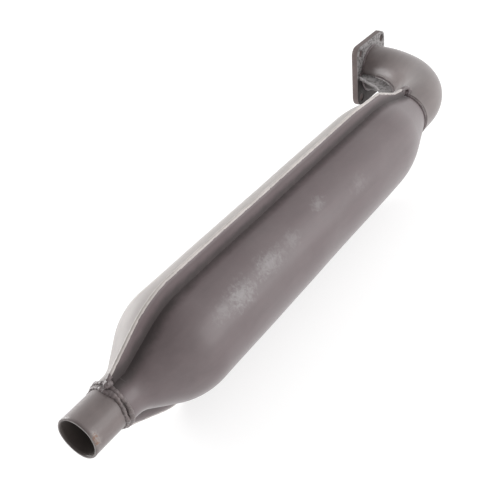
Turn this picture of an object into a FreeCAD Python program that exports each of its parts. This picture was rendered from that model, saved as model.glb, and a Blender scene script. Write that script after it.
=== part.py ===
import FreeCAD, Part
import math
import os

# Kart racing exhaust: two pressed half shells seam-welded round a set of inner
# cones, a straight outlet stub, and a ninety degree header with an engine flange.
#
# The pieces are built in the chamber's frame: +X runs along the chamber's axis from
# the outlet rim to the header, the header bends toward +Y, and +Z is up.  They are
# then moved so that the origin is the middle of the flange's outer face.  All in mm.

# Pressed shells
SHEET = 1.2                  # thickness of the shell sheet
BODY_R = 43.0                # outside radius of the straight body
REAR_NECK_R = 17.2           # outside radius where the shells grip the outlet stub
REAR_END_X = 32.0            # rear edge of the shells
REAR_CONE_X = 48.5           # the rear cone leaves the neck
REAR_BODY_X = 91.5           # the rear cone meets the body
FRONT_BODY_X = 426.0         # the body meets the front cone
FRONT_CONE_X = 491.5         # the front cone meets the front neck
FRONT_END_X = 510.0          # front edge of the shells, inside the header
FRONT_NECK_R = 23.5          # outside radius of the front neck
REAR_NECK_BLEND = 25.0       # blend radii along the shell's outline
REAR_BODY_BLEND = 65.0
FRONT_BODY_BLEND = 150.0
FIN_ROOT_BLEND = 3.0         # where the seam fin leaves the body

# Seam fin, as heights above the chamber's axis
FIN_R = 60.5                 # along the body
FIN_REAR_X = 36.0            # rear end of the fin
UPPER_REAR = (25.5, 80.0)    # height of that end, and x where the upper fin stops rising
LOWER_REAR = (26.4, 96.0)    # the lower fin rises more slowly
FIN_TAPER_X = 372.0          # the fin starts to taper
FIN_KNEE = (421.0, 56.3)     # the fin starts falling to the front neck
FIN_SHOULDER = (459.5, 39.3)   # the fin levels off by the front neck
FIN_FRONT = (484.0, 34.5)      # front end of the fin
FIN_REAR_BLEND = 65.0
FIN_TAPER_BLEND = 200.0
FIN_KNEE_BLEND = 18.0
FIN_SHOULDER_BLEND = 12.0
FIN_END_BLEND = 1.5
FIN_FRONT_SLOPE = 2.0        # the front end runs this far forward on its way to the axis
SEAM_LEAN = 6.0              # the seam plane leans this many degrees from upright

# Outlet stub
OUTLET_R = 16.0
OUTLET_WALL = 1.5
OUTLET_END_X = 58.0          # the stub's inner end
OUTLET_FREE = 28.5           # free length in front of the weld
OUTLET_GRIP_R = 15.5         # sized smaller where the shells grip it

# Header
HEADER_R = 25.0
HEADER_WALL = 1.5
HEADER_X = 492.2             # the header's edge, lapped over the front neck
HEADER_STRAIGHT = 19.9       # straight run before the bend
BEND_R = 82.5                # centreline radius of the ninety degree bend
HEADER_TAIL = 3.0            # straight run between the bend and the flange

# Engine flange
FLANGE_SIDE = 68.0           # width of the plate
FLANGE_TOP = 34.0            # its top edge above the port's middle
FLANGE_BOTTOM = 36.5         # and its bottom edge below it
FLANGE_THICK = 8.0
FLANGE_TOP_CORNER_R = 9.0
FLANGE_BOTTOM_CORNER_R = 12.0
BOLT_SPACING = 52.0
BOLT_HOLE_R = 4.25
HEADER_SHORT = 2.0           # the header stops this far below the flange's face
FLANGE_EDGE = 0.5            # broken edge of the plate

# Brace plate between flange, header and front cone
BRACE_THICK = 4.0
BRACE_FREE_R = 42.0          # its free edge, about the centre of the header's bend
BRACE_FOOT = (468.0, 31.0)   # where its free edge runs out on the front cone
BRACE_START = 25.0           # degrees round the bend where the free edge turns straight
BRACE_END = 66.0             # degrees round the bend where the free edge meets the flange
BRACE_SETBACK = 1.5          # the brace stops this far short of the flange's side
BRACE_ROOT_Y = 10.0          # its hidden edge, inside the header before that is cut away
BRACE_ROOT_DEPTH = 20.0      # how far down the header's tail that edge runs

# Welds
BEAD = 1.3                   # height of the bead along the seam
FILLET_LEG = 2.8             # leg of the fillet round the header, on the flange's back
BRACE_BEAD = 2.0             # leg of the fillets along the brace
LUMP_R = 4.4                 # lumps that close the four ends of the seam
OUTLET_BEAD_HEIGHT = 3.2     # crown of the outlet's bead above the stub
OUTLET_BEAD_ON_SHELL = 2.8   # how far it runs onto the shells' neck
NECK_BEAD_FOOT = 4.0         # how far the neck's bead runs back from the cone's end
NECK_BEAD_CROWN = (2.6, 0.45)   # its crown, along and out from its foot
NECK_BEAD_STEP = 0.2         # it stops this far below the header's outside
WELD_ROOT = 1.0              # how far a bead reaches below the sheet's surface
BEAD_END_GAP = 0.5           # space left between neighbouring beads
BRACE_BEAD_TOP = 26.0        # the header's brace bead stops this far short of the fillet
BRACE_BEAD_START_Y = 20.0    # and starts this far up the bend
BEAD_WINDOW = 10.0           # half height of the window that trims the brace's beads

# Inner pieces
LINER = 1.2                  # thickness of the inner sheet pieces
INLET_CONE_X = 330.0         # wide end of the inlet cone
INLET_CONE_R = 35.0          # its outside radius there
COLLAR = 8.0                 # straight collar at the wide end of each cone
BAFFLE_WIDE_X = 240.0        # wide end of the baffle cone
BAFFLE_TIP_X = 174.0         # its narrow end
CORE_R = OUTLET_R - OUTLET_WALL
CORE_REAR_X = 38.0
CORE_WALL = 1.2
CORE_HOLE_R = 2.0
CORE_HOLE_PITCH = 9.0
CORE_HOLE_ROWS = 5
CORE_HOLES_ROUND = 8
REAR_DISC_X = 112.0
WRAP_R = 17.0                # outside radius of the steel wool wrap
NOTCH_R = 2.5                # gas notches round the support ring
NOTCHES = 8

INNER_R = BODY_R - SHEET
BEND_X = HEADER_X + HEADER_STRAIGHT
FLANGE_X = BEND_X + BEND_R
FLANGE_BACK_Y = BEND_R + HEADER_TAIL
FLANGE_FACE_Y = FLANGE_BACK_Y + FLANGE_THICK
AXIS = FreeCAD.Vector(1, 0, 0)
CENTRE = FreeCAD.Vector(0, 0, 0)


def point(x, r):
    """A point in the seam plane, r above the chamber's axis."""
    return FreeCAD.Vector(x, 0, r)


def rounded_path(corners, radii):
    """Straight runs through the corners, with a tangent arc at each inner one."""
    edges = []
    start = corners[0]
    for before, corner, after, radius in zip(corners, corners[1:], corners[2:], radii):
        into = (corner - before).normalize()
        out = (after - corner).normalize()
        half_turn = into.getAngle(out) / 2
        first = corner - into * radius * math.tan(half_turn)
        last = corner + out * radius * math.tan(half_turn)
        inward = (out - into).normalize()
        middle = corner + inward * radius * (1 / math.cos(half_turn) - 1)
        edges.append(Part.makeLine(start, first))
        edges.append(Part.Arc(first, middle, last).toShape())
        start = last
    edges.append(Part.makeLine(start, corners[-1]))
    return edges


def sharp_face(corners):
    """A flat face with straight sides through the corners."""
    return Part.Face(Part.makePolygon(list(corners) + [corners[0]]))


def ring(corners):
    """A solid turned about the chamber's axis from (x, r) corners."""
    return sharp_face([point(x, r) for x, r in corners]).revolve(CENTRE, AXIS, 360)


def tube(x_start, x_end, outer_r, wall):
    """A straight tube along the chamber's axis."""
    inner_r = outer_r - wall
    return ring([(x_start, inner_r), (x_end, inner_r), (x_end, outer_r), (x_start, outer_r)])


def bead_ring(start, crown, end, root):
    """A weld turned about the chamber's axis, with a round crown over its root."""
    edges = [Part.Arc(point(*start), point(*crown), point(*end)).toShape()]
    edges += [Part.makeLine(point(*a), point(*b)) for a, b in zip([end] + root, root + [start])]
    return Part.Face(Part.Wire(edges)).revolve(CENTRE, AXIS, 360)


def body_face(inset):
    """The area between the chamber's axis and the shell's outline, moved in by inset."""
    rear_turn = math.atan2(BODY_R - REAR_NECK_R, REAR_BODY_X - REAR_CONE_X)
    front_turn = math.atan2(BODY_R - FRONT_NECK_R, FRONT_CONE_X - FRONT_BODY_X)
    rear_shift = inset * math.tan(rear_turn / 2)
    front_shift = inset * math.tan(front_turn / 2)
    corners = [point(REAR_END_X, REAR_NECK_R - inset),
               point(REAR_CONE_X + rear_shift, REAR_NECK_R - inset),
               point(REAR_BODY_X + rear_shift, BODY_R - inset),
               point(FRONT_BODY_X - front_shift, BODY_R - inset),
               point(FRONT_CONE_X - front_shift, FRONT_NECK_R - inset),
               point(FRONT_END_X, FRONT_NECK_R - inset)]
    radii = [REAR_NECK_BLEND + inset, REAR_BODY_BLEND - inset, FRONT_BODY_BLEND - inset, 1 + inset]
    edges = rounded_path(corners, radii)
    ends = [corners[-1], point(FRONT_END_X, 0), point(REAR_END_X, 0), corners[0]]
    edges += [Part.makeLine(a, b) for a, b in zip(ends, ends[1:])]
    return Part.Face(Part.Wire(edges))


def fin_face(rear):
    """A seam fin above the axis, down to the axis itself."""
    rear_height, body_x = rear
    corners = [point(FIN_REAR_X, 0), point(FIN_REAR_X, rear_height),
               point(body_x, FIN_R), point(FIN_TAPER_X, FIN_R), point(*FIN_KNEE),
               point(*FIN_SHOULDER), point(*FIN_FRONT), point(FIN_FRONT[0] + FIN_FRONT_SLOPE, 0)]
    radii = [FIN_END_BLEND, FIN_REAR_BLEND, FIN_TAPER_BLEND, FIN_KNEE_BLEND, FIN_SHOULDER_BLEND,
             FIN_END_BLEND]
    edges = rounded_path(corners, radii)
    edges.append(Part.makeLine(corners[-1], corners[0]))
    return Part.Face(Part.Wire(edges))


def lean(shape):
    """Turn a piece with the seam plane about the chamber's axis."""
    shape.rotate(CENTRE, AXIS, SEAM_LEAN)
    return shape


def below_axis(shape):
    """The same piece on the lower side of the seam plane."""
    shape = shape.copy()
    shape.rotate(CENTRE, AXIS, 180)
    return shape


def body_solid():
    """The chamber's outside, as a full solid."""
    return body_face(0).revolve(CENTRE, AXIS, 360)


def fin_slab(side, thick):
    """Both fins as a flat slab that lies on one side of the seam plane."""
    upper = fin_face(UPPER_REAR)
    lower = fin_face(LOWER_REAR).mirror(CENTRE, FreeCAD.Vector(0, 0, 1))
    away = FreeCAD.Vector(0, side * thick, 0)
    return upper.extrude(away).fuse(lower.extrude(away)).removeSplitter()


def pressed_half(side):
    """One half and its fin, not yet hollow, with the seam plane upright."""
    dome = body_face(0).revolve(CENTRE, AXIS, -180 * side)
    pressed = dome.fuse(fin_slab(side, SHEET)).removeSplitter()
    body = body_solid()
    root_edges = [edge for edge in pressed.Edges if is_fin_root(edge, side, body)]
    return pressed.makeFillet(FIN_ROOT_BLEND, root_edges)


def half_shell(side):
    """One pressed half: side is -1 away from the engine and +1 toward it."""
    return lean(pressed_half(side).cut(body_face(SHEET).revolve(CENTRE, AXIS, 360)))


def is_fin_root(edge, side, body):
    """True for the edges where the fin's outer face meets the body."""
    box = edge.BoundBox
    on_face = abs(box.YMin - side * SHEET) < 0.01 and abs(box.YMax - side * SHEET) < 0.01
    middle = edge.valueAt((edge.FirstParameter + edge.LastParameter) / 2)
    return on_face and box.XLength > 1 and body.isInside(middle, 0.01, True)


def header_solid(radius):
    """The header's straight run, bend and tail as one full round bar."""
    bend_axis = FreeCAD.Vector(BEND_X, BEND_R, 0)
    start = Part.makeCylinder(radius, HEADER_STRAIGHT, FreeCAD.Vector(HEADER_X, 0, 0), AXIS)
    section = Part.Face(Part.Wire(Part.makeCircle(radius, FreeCAD.Vector(BEND_X, 0, 0), AXIS)))
    bend = section.revolve(bend_axis, FreeCAD.Vector(0, 0, 1), 90)
    reach = FLANGE_FACE_Y - HEADER_SHORT - BEND_R
    tail = Part.makeCylinder(radius, reach, FreeCAD.Vector(FLANGE_X, BEND_R, 0),
                             FreeCAD.Vector(0, 1, 0))
    return start.fuse([bend, tail]).removeSplitter()


def header_elbow():
    """Mandrel-bent header, slipped over the chamber's front neck."""
    return header_solid(HEADER_R).cut(header_solid(HEADER_R - HEADER_WALL))


def engine_flange():
    """Nearly square plate with the header let into its bore and a hole in each corner."""
    plate = Part.makeBox(FLANGE_SIDE, FLANGE_THICK, FLANGE_TOP + FLANGE_BOTTOM,
                         FreeCAD.Vector(FLANGE_X - FLANGE_SIDE / 2, FLANGE_BACK_Y, -FLANGE_BOTTOM))
    for side, radius in ((1, FLANGE_TOP_CORNER_R), (-1, FLANGE_BOTTOM_CORNER_R)):
        corners = [edge for edge in plate.Edges
                   if edge.BoundBox.YLength > FLANGE_THICK / 2 and edge.BoundBox.ZLength < 0.1
                   and edge.BoundBox.ZMin * side > FLANGE_TOP - 1]
        plate = plate.makeFillet(radius, corners)
    rims = [edge for edge in plate.Edges if edge.BoundBox.YLength < 0.1]
    plate = plate.makeChamfer(FLANGE_EDGE, rims)
    through = FreeCAD.Vector(0, 1, 0)
    plate = plate.cut(Part.makeCylinder(HEADER_R, FLANGE_THICK,
                                        FreeCAD.Vector(FLANGE_X, FLANGE_BACK_Y, 0), through))
    for x_side in (-1, 1):
        for z_side in (-1, 1):
            place = FreeCAD.Vector(FLANGE_X + x_side * BOLT_SPACING / 2, FLANGE_BACK_Y,
                                   z_side * BOLT_SPACING / 2)
            plate = plate.cut(Part.makeCylinder(BOLT_HOLE_R, FLANGE_THICK, place, through))
    return plate


def brace_outline():
    """The brace in the plane of the bend, with its inner edge run into the header."""
    bend_centre = FreeCAD.Vector(BEND_X, BEND_R, 0)
    flange_edge = FLANGE_X - FLANGE_SIDE / 2 + BRACE_SETBACK

    def on_free_edge(degrees):
        angle = math.radians(degrees)
        reach = FreeCAD.Vector(math.sin(angle), -math.cos(angle), 0)
        return bend_centre + reach * BRACE_FREE_R

    upper = on_free_edge(BRACE_END)
    lower = on_free_edge(BRACE_START)
    foot = FreeCAD.Vector(BRACE_FOOT[0], BRACE_FOOT[1], 0)
    corners = [foot, FreeCAD.Vector(BRACE_FOOT[0], BRACE_ROOT_Y, 0),
               FreeCAD.Vector(BEND_X, BRACE_ROOT_Y, 0),
               FreeCAD.Vector(FLANGE_X, FLANGE_BACK_Y - BRACE_ROOT_DEPTH, 0),
               FreeCAD.Vector(FLANGE_X, FLANGE_BACK_Y, 0),
               FreeCAD.Vector(flange_edge, FLANGE_BACK_Y, 0), upper]
    edges = [Part.makeLine(a, b) for a, b in zip(corners, corners[1:])]
    middle = on_free_edge((BRACE_START + BRACE_END) / 2)
    edges.append(Part.Arc(upper, middle, lower).toShape())
    edges.append(Part.makeLine(lower, foot))
    return Part.Face(Part.Wire(edges))


def brace_gusset():
    """Flat plate that ties the flange to the header and the front cone."""
    plate = brace_outline().extrude(FreeCAD.Vector(0, 0, BRACE_THICK))
    plate.translate(FreeCAD.Vector(0, 0, -BRACE_THICK / 2))
    return plate.cut(header_solid(HEADER_R)).cut(body_solid()).cut(neck_weld_ring())


def seam_weld(rear):
    """Bead that closes the outer edge of a fin above the axis."""
    fin = fin_face(rear)
    outside = Part.Face(fin.makeOffset2D(BEAD).OuterWire)
    bead = outside.extrude(FreeCAD.Vector(0, 2 * SHEET, 0))
    bead.translate(FreeCAD.Vector(0, -SHEET, 0))
    rims = [edge for edge in bead.Edges
            if edge.BoundBox.YLength < 0.01 and edge.BoundBox.ZMax > REAR_NECK_R]
    bead = bead.makeFillet(SHEET * 0.8, rims)
    core = fin.extrude(FreeCAD.Vector(0, 2 * SHEET, 0))
    core.translate(FreeCAD.Vector(0, -SHEET, 0))
    return bead.cut(core).cut(body_solid()).cut(outlet_weld())


def seam_end_welds():
    """A lump of weld at both ends of both fins."""
    neighbours = [pressed_half(-1), pressed_half(1), body_solid(), seam_weld(UPPER_REAR),
                  below_axis(seam_weld(LOWER_REAR)), header_solid(HEADER_R), neck_weld_ring(),
                  outlet_weld()]
    lumps = []
    for side in (1, -1):
        for place in (point(FIN_REAR_X - 1.5, side * (REAR_NECK_R + 4.5)),
                      point(FIN_FRONT[0] + 4.5, side * (HEADER_R + 2.5))):
            lumps.append(Part.makeSphere(LUMP_R, place).cut(neighbours))
    return lean(Part.makeCompound(lumps))


def outlet_stub():
    """Straight tail tube, sized down where the shells grip it."""
    inner_r = OUTLET_R - OUTLET_WALL
    return ring([(0, inner_r), (OUTLET_END_X, inner_r), (OUTLET_END_X, OUTLET_GRIP_R),
                 (OUTLET_FREE, OUTLET_GRIP_R), (OUTLET_FREE, OUTLET_R), (0, OUTLET_R)])


def outlet_weld():
    """Bead where the shells' rear neck grips the outlet stub."""
    crown = ((OUTLET_FREE + REAR_END_X + OUTLET_BEAD_ON_SHELL) / 2, OUTLET_R + OUTLET_BEAD_HEIGHT)
    return bead_ring((OUTLET_FREE, OUTLET_R), crown,
                     (REAR_END_X + OUTLET_BEAD_ON_SHELL, REAR_NECK_R),
                     [(REAR_END_X, REAR_NECK_R), (REAR_END_X, OUTLET_GRIP_R),
                      (OUTLET_FREE, OUTLET_GRIP_R)])


def neck_weld_ring():
    """Bead from the front cone to the header's lapped edge, all round."""
    slope = (BODY_R - FRONT_NECK_R) / (FRONT_CONE_X - FRONT_BODY_X)
    foot_x = FRONT_CONE_X - NECK_BEAD_FOOT
    foot_r = FRONT_NECK_R + NECK_BEAD_FOOT * slope
    crown = (foot_x + NECK_BEAD_CROWN[0], foot_r + NECK_BEAD_CROWN[1])
    root_r = FRONT_NECK_R - WELD_ROOT
    fill = bead_ring((foot_x, foot_r), crown, (HEADER_X, HEADER_R - NECK_BEAD_STEP),
                     [(HEADER_X, root_r), (foot_x, root_r)])
    return fill.cut(body_solid())


def flange_weld():
    """Fillet round the header on the back of the flange, with a gap for the brace."""
    on_header = FreeCAD.Vector(HEADER_R, FLANGE_BACK_Y - FILLET_LEG, 0)
    crown = FreeCAD.Vector(HEADER_R + FILLET_LEG * 0.55, FLANGE_BACK_Y - FILLET_LEG * 0.55, 0)
    on_flange = FreeCAD.Vector(HEADER_R + FILLET_LEG, FLANGE_BACK_Y, 0)
    root = FreeCAD.Vector(HEADER_R, FLANGE_BACK_Y, 0)
    edges = [Part.Arc(on_header, crown, on_flange).toShape(), Part.makeLine(on_flange, root),
             Part.makeLine(root, on_header)]
    fillet = Part.Face(Part.Wire(edges)).revolve(CENTRE, FreeCAD.Vector(0, 1, 0), 360)
    fillet.translate(FreeCAD.Vector(FLANGE_X, 0, 0))
    gap = Part.makeBox(2 * HEADER_R, 2 * FILLET_LEG, BRACE_THICK,
                       FreeCAD.Vector(FLANGE_X - 2 * HEADER_R, FLANGE_BACK_Y - FILLET_LEG,
                                      -BRACE_THICK / 2))
    return fillet.cut(gap)


def brace_beads(target, grown, window):
    """Square fillets on both faces of the brace, along the target inside the window."""
    beads = []
    for side in (-1, 1):
        slab = brace_outline().extrude(FreeCAD.Vector(0, 0, BRACE_BEAD))
        base = BRACE_THICK / 2 if side > 0 else -BRACE_THICK / 2 - BRACE_BEAD
        slab.translate(FreeCAD.Vector(0, 0, base))
        bead = slab.common(grown).common(window).cut(target)
        beads += bead.Solids
    return Part.makeCompound(beads)


def brace_header_weld():
    """Fillets where the brace meets the inside of the bend."""
    window = Part.makeBox(FLANGE_X - BEND_X, FLANGE_BACK_Y - FILLET_LEG - BRACE_BEAD_TOP,
                          2 * BEAD_WINDOW, FreeCAD.Vector(BEND_X, BRACE_BEAD_START_Y, -BEAD_WINDOW))
    return brace_beads(header_solid(HEADER_R), header_solid(HEADER_R + BRACE_BEAD), window)


def brace_cone_weld():
    """Fillets where the brace's foot meets the front cone."""
    slope = (BODY_R - FRONT_NECK_R) / (FRONT_CONE_X - FRONT_BODY_X)
    foot_x = BRACE_FOOT[0] - WELD_ROOT
    foot_r = FRONT_NECK_R + (FRONT_CONE_X - foot_x) * slope
    end_x = FRONT_CONE_X - NECK_BEAD_FOOT - 2 * BEAD_END_GAP
    end_r = FRONT_NECK_R + (FRONT_CONE_X - end_x) * slope
    grown = ring([(foot_x, 0), (foot_x, foot_r + BRACE_BEAD), (end_x, end_r + BRACE_BEAD),
                  (end_x, 0)])
    window = Part.makeBox(end_x - foot_x, BRACE_FOOT[1], 2 * BEAD_WINDOW,
                          FreeCAD.Vector(foot_x, BRACE_ROOT_Y, -BEAD_WINDOW))
    return brace_beads(body_solid(), grown, window)


def brace_flange_weld():
    """Fillets where the brace meets the back of the flange."""
    start_x = FLANGE_X - FLANGE_SIDE / 2 + BRACE_SETBACK + BEAD_END_GAP
    end_x = FLANGE_X - HEADER_R - FILLET_LEG - BEAD_END_GAP
    beads = []
    for side in (-1, 1):
        base = side * BRACE_THICK / 2
        corners = [FreeCAD.Vector(start_x, FLANGE_BACK_Y, base),
                   FreeCAD.Vector(start_x, FLANGE_BACK_Y - BRACE_BEAD, base),
                   FreeCAD.Vector(start_x, FLANGE_BACK_Y, base + side * BRACE_BEAD)]
        bead = sharp_face(corners).extrude(FreeCAD.Vector(end_x - start_x, 0, 0))
        beads += bead.Solids
    return Part.makeCompound(beads)


def inlet_cone():
    """Inner diffuser that carries on from the front neck."""
    neck_r = FRONT_NECK_R - SHEET
    outer = [(FRONT_END_X, neck_r), (FRONT_CONE_X, neck_r), (INLET_CONE_X + COLLAR, INLET_CONE_R),
             (INLET_CONE_X, INLET_CONE_R)]
    inner = [(x, r - LINER) for x, r in reversed(outer)]
    return ring(outer + inner)


def cone_support_ring():
    """Notched ring that centres the inlet cone's wide end in the body."""
    middle_x = INLET_CONE_X + COLLAR / 2
    disc = tube(middle_x, middle_x + LINER, INNER_R, INNER_R - INLET_CONE_R)
    for index in range(NOTCHES):
        notch = Part.makeCylinder(NOTCH_R, LINER, point(middle_x, INNER_R), AXIS)
        notch.rotate(CENTRE, AXIS, 360 * (index + 0.5) / NOTCHES)
        disc = disc.cut(notch)
    return disc


def baffle_cone():
    """Reverse cone that closes the body down to the core tube."""
    tip_r = CORE_R + LINER
    outer = [(BAFFLE_WIDE_X, INNER_R), (BAFFLE_WIDE_X - COLLAR, INNER_R), (BAFFLE_TIP_X, tip_r),
             (BAFFLE_TIP_X - COLLAR, tip_r)]
    inner = [(x, r - LINER) for x, r in reversed(outer)]
    return ring(outer + inner)


def core_tube():
    """Perforated tube from the baffle cone into the outlet stub."""
    core = tube(CORE_REAR_X, BAFFLE_TIP_X - COLLAR / 2, CORE_R, CORE_WALL)
    drills = []
    for row in range(CORE_HOLE_ROWS):
        for index in range(CORE_HOLES_ROUND):
            x = REAR_DISC_X + CORE_HOLE_PITCH * (row + 1)
            drill = Part.makeCylinder(CORE_HOLE_R, CORE_R + 1, point(x, 0),
                                      FreeCAD.Vector(0, 0, 1))
            drill.rotate(CENTRE, AXIS, 360 * (index + row / 2) / CORE_HOLES_ROUND)
            drills.append(drill)
    return core.cut(drills)


def rear_disc():
    """Disc that holds the core tube and the packing at the rear."""
    return tube(REAR_DISC_X, REAR_DISC_X + LINER, INNER_R, INNER_R - CORE_R)


def wool_wrap():
    """Steel wool wound on the perforated part of the core tube."""
    return tube(REAR_DISC_X + LINER, BAFFLE_TIP_X - COLLAR, WRAP_R, WRAP_R - CORE_R)


def packing():
    """Mineral wool between the wrap, the baffle cone and the shells."""
    rise = (INNER_R - CORE_R - LINER) / (BAFFLE_WIDE_X - COLLAR - BAFFLE_TIP_X)
    cone_x = BAFFLE_TIP_X + (WRAP_R - CORE_R - LINER) / rise
    start_x = REAR_DISC_X + LINER
    return ring([(start_x, WRAP_R), (cone_x, WRAP_R), (BAFFLE_WIDE_X - COLLAR, INNER_R),
                 (start_x, INNER_R)])


def save(node, shape):
    """Move a piece into the flange's frame and write it."""
    solids = shape.Solids
    shape = solids[0].copy() if len(solids) == 1 else Part.makeCompound(solids)
    shape.translate(FreeCAD.Vector(-FLANGE_X, -FLANGE_FACE_Y, 0))
    shape.exportStep(f"parts/{node}.step")


def main():
    os.makedirs("parts", exist_ok=True)
    save("shell_right", half_shell(-1))
    save("shell_left", half_shell(1))
    save("outlet_stub", outlet_stub())
    save("header_elbow", header_elbow())
    save("engine_flange", engine_flange())
    save("brace_gusset", brace_gusset())
    save("seam_weld_top", lean(seam_weld(UPPER_REAR)))
    save("seam_weld_bottom", lean(below_axis(seam_weld(LOWER_REAR))))
    save("seam_end_welds", seam_end_welds())
    save("outlet_weld", outlet_weld())
    save("neck_weld", neck_weld_ring())
    save("flange_weld", flange_weld())
    save("brace_header_weld", brace_header_weld())
    save("brace_cone_weld", brace_cone_weld())
    save("brace_flange_weld", brace_flange_weld())
    save("inlet_cone", inlet_cone())
    save("cone_support_ring", cone_support_ring())
    save("baffle_cone", baffle_cone())
    save("core_tube", core_tube())
    save("rear_disc", rear_disc())
    save("wool_wrap", wool_wrap())
    save("packing", packing())


main()
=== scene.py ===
# %% [markdown]
# # A kart racing exhaust
#
# A pressed and welded exhaust chamber: two half shells with a seam fin, a straight
# outlet stub, and a right-angle header that ends in a square engine flange.
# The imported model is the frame.  It says where everything is, in metres, and the
# pieces below put the surface on it: rounded edges, weld beads and worn paint.

import math

import bmesh
import bpy
from mathutils import Matrix, Vector, noise


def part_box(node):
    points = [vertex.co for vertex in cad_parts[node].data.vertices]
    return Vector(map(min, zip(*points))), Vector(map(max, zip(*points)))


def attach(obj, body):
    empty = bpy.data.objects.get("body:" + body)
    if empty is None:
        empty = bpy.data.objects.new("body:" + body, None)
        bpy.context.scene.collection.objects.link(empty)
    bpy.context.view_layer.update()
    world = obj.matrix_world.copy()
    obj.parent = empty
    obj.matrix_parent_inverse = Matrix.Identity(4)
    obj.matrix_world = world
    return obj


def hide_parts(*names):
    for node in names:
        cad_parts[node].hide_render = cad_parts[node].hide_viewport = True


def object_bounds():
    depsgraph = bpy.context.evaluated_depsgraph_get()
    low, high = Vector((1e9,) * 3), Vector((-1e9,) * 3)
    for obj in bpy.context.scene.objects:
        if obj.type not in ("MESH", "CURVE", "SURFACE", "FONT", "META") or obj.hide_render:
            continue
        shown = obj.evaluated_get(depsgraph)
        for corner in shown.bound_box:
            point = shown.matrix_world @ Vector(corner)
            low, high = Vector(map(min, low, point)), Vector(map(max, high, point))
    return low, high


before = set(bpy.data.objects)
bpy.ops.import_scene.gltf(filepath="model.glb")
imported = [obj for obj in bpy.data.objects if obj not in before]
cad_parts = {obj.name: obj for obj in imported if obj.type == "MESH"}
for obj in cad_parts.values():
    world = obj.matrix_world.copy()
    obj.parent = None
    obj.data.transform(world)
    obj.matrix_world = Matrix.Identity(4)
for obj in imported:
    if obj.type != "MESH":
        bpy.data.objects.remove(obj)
cad_low, cad_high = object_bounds()
print("CAD box in mm:", [round(1000 * side) for side in cad_high - cad_low])

# %% [markdown]
# ## The chamber's own axes
# Most pieces are turned parts, so they are easiest to make about the chamber's axis:
# x runs from the outlet's rim to the header, and z is up.  The outlet stub's box gives
# the place of that axis in the frame, and every finished piece is moved there.

# %% Where the chamber is
stub_low, stub_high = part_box("outlet_stub")
stub_middle = (stub_low + stub_high) / 2
CHAMBER = Vector((stub_low.x, stub_middle.y, stub_middle.z))
AXIS = Vector((1, 0, 0))
CENTRE = Vector((0, 0, 0))
TINY = 1e-6
FLANGE_THICK = 0.008
FLANGE_BACK_Y = -CHAMBER.y - FLANGE_THICK
print("outlet rim's centre:", [round(value, 4) for value in CHAMBER])

# %% [markdown]
# ## Camera
# The exhaust is seen from above its outlet, so the chamber runs away into the picture.
# A long lens keeps the far end from looking small.  The camera is placed by angles and a
# distance from the chamber's middle, and it is rolled a little, as if it were held by hand.

# %% Place the camera
VIEW_AZIMUTH = math.radians(53.56)
VIEW_DOWN = math.radians(34.49)
VIEW_ROLL = math.radians(-6.4)
VIEW_DISTANCE = 0.675
AIM_FROM_MIDDLE = Vector((-0.0488, 0.0133, 0.0002))
LENS = 59.73

right_low, right_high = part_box("shell_right")
middle_x = (right_low.x + right_high.x) / 2
aim = Vector((middle_x, CHAMBER.y, CHAMBER.z)) + AIM_FROM_MIDDLE
forward = Vector((math.sin(VIEW_AZIMUTH) * math.cos(VIEW_DOWN),
                  math.cos(VIEW_AZIMUTH) * math.cos(VIEW_DOWN), -math.sin(VIEW_DOWN)))
turned = forward.to_track_quat("-Z", "Y").to_matrix().to_4x4() @ Matrix.Rotation(VIEW_ROLL, 4, "Z")
camera = bpy.data.objects.new("camera", bpy.data.cameras.new("camera"))
camera.data.lens = LENS
camera.matrix_world = Matrix.Translation(aim - forward * VIEW_DISTANCE) @ turned
bpy.context.scene.collection.objects.link(camera)
bpy.context.scene.camera = camera
print("camera at", [round(value, 3) for value in camera.matrix_world.translation])

# %% [markdown]
# ## Nodes, links and groups
# Finishes are made of shader nodes, which could be added line by line.  One helper places
# a node and fills its inputs, with a value or a link, so each finish reads from top to
# bottom.  Another opens a node group, for an effect that several finishes share.

# %% Helpers for shader nodes
def place(tree, kind, inputs=None, **settings):
    """One node, with its settings and the values or links of its inputs."""
    made = tree.nodes.new(kind)
    for name, value in settings.items():
        setattr(made, name, value)
    for name, value in (inputs or {}).items():
        if isinstance(value, bpy.types.NodeSocket):
            tree.links.new(value, made.inputs[name])
        else:
            made.inputs[name].default_value = value
    return made


def blend_colours(tree, mask, first, second):
    """First where the mask is 0, second where it is 1."""
    colours = {"Factor": mask, 6: first, 7: second}  # 6 and 7 are the mix node's colour sockets
    return place(tree, "ShaderNodeMix", colours, data_type="RGBA").outputs[2]


def sums(tree, operation, first, second):
    """One step of arithmetic on two values or sockets, kept between 0 and 1."""
    return place(tree, "ShaderNodeMath", {0: first, 1: second}, operation=operation,
                 use_clamp=True).outputs[0]


def scaled(tree, value, factor, plus):
    """The value times a factor, plus another value, with no limits."""
    return place(tree, "ShaderNodeMath", {0: value, 1: factor, 2: plus},
                 operation="MULTIPLY_ADD").outputs[0]


def cloudy(tree, where, scale, detail, roughness, distortion=0.0):
    """Noise between 0 and 1; the scale is how many waves fit in a metre."""
    inputs = {"Vector": where, "Scale": scale, "Detail": detail, "Roughness": roughness,
              "Distortion": distortion}
    return place(tree, "ShaderNodeTexNoise", inputs).outputs[0]


def vector_step(tree, operation, first, second=None):
    """One step of arithmetic on two vectors."""
    inputs = {0: first} if second is None else {0: first, 1: second}
    return place(tree, "ShaderNodeVectorMath", inputs, operation=operation).outputs


def ramp(tree, value, low, high):
    """0 at low, 1 at high, and smooth between."""
    return place(tree, "ShaderNodeMapRange", {"Value": value, "From Min": low, "From Max": high},
                 interpolation_type="SMOOTHSTEP").outputs["Result"]


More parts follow.
